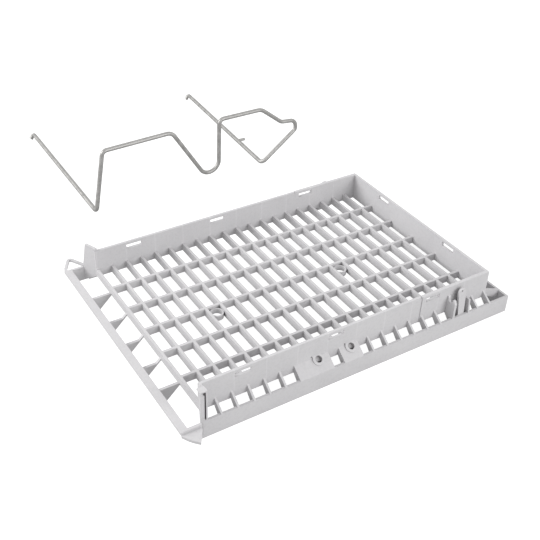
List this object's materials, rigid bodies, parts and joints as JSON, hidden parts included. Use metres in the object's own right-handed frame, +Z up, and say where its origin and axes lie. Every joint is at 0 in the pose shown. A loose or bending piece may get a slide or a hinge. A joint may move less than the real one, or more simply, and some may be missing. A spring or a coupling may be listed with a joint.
{
  "type": "nesting box base tray with wire bail",
  "caption": "Slatted grey plastic nest tray with slotted side walls, sloped ribbed ledges, clip cradles and an open entrance sill, with a loose bent-wire bail.",
  "frame": {"origin": "centre of the tray on the surface that it stands on", "axes": "+X along the tray from its entrance sill to its closed end, +Y across it towards the bail, +Z up"},
  "size_m": [0.3709, 0.6157, 0.0814],
  "materials": {
    "tray_plastic": "satin, injection moulded polypropylene",
    "bail_steel": "zinc-plated drawn wire"
  },
  "bodies": {
    "tray": {"end_ledge_ribs": "tray_plastic", "end_skirt": "tray_plastic", "end_wall": "tray_plastic", "entrance_sill": "tray_plastic", "floor_grate": "tray_plastic", "front_arm_cradle": "tray_plastic", "front_clip_panel": "tray_plastic", "front_corner_wing": "tray_plastic", "front_door_post": "tray_plastic", "front_finger_guard": "tray_plastic", "front_flared_plate": "tray_plastic", "front_ledge_ribs": "tray_plastic", "front_narrow_screw_block": "tray_plastic", "front_sill_cheek": "tray_plastic", "front_skirt": "tray_plastic", "front_snap_finger": "tray_plastic", "front_wall_panel": "tray_plastic", "front_wide_screw_block": "tray_plastic", "grate_bosses": "tray_plastic", "rear_arm_cradle": "tray_plastic", "rear_clip_panel": "tray_plastic", "rear_corner_ear": "tray_plastic", "rear_door_post": "tray_plastic", "rear_finger_guard": "tray_plastic", "rear_flared_plate": "tray_plastic", "rear_ledge_ribs": "tray_plastic", "rear_narrow_screw_block": "tray_plastic", "rear_sill_cheek": "tray_plastic", "rear_skirt": "tray_plastic", "rear_snap_finger": "tray_plastic", "rear_wall_panel": "tray_plastic", "rear_wide_screw_block": "tray_plastic", "sill_gussets": "tray_plastic"},
    "bail": {"bail_wire": "bail_steel", "stop_pin": "bail_steel"}
  },
  "joints": [
    {"name": "bail_swing", "type": "hinge", "parent": "tray", "child": "bail", "pos_m": [0, 0.4631, 0.004], "axis": [-0.9984, -0.0567, 0], "range_deg": [0, 105]}
  ]
}
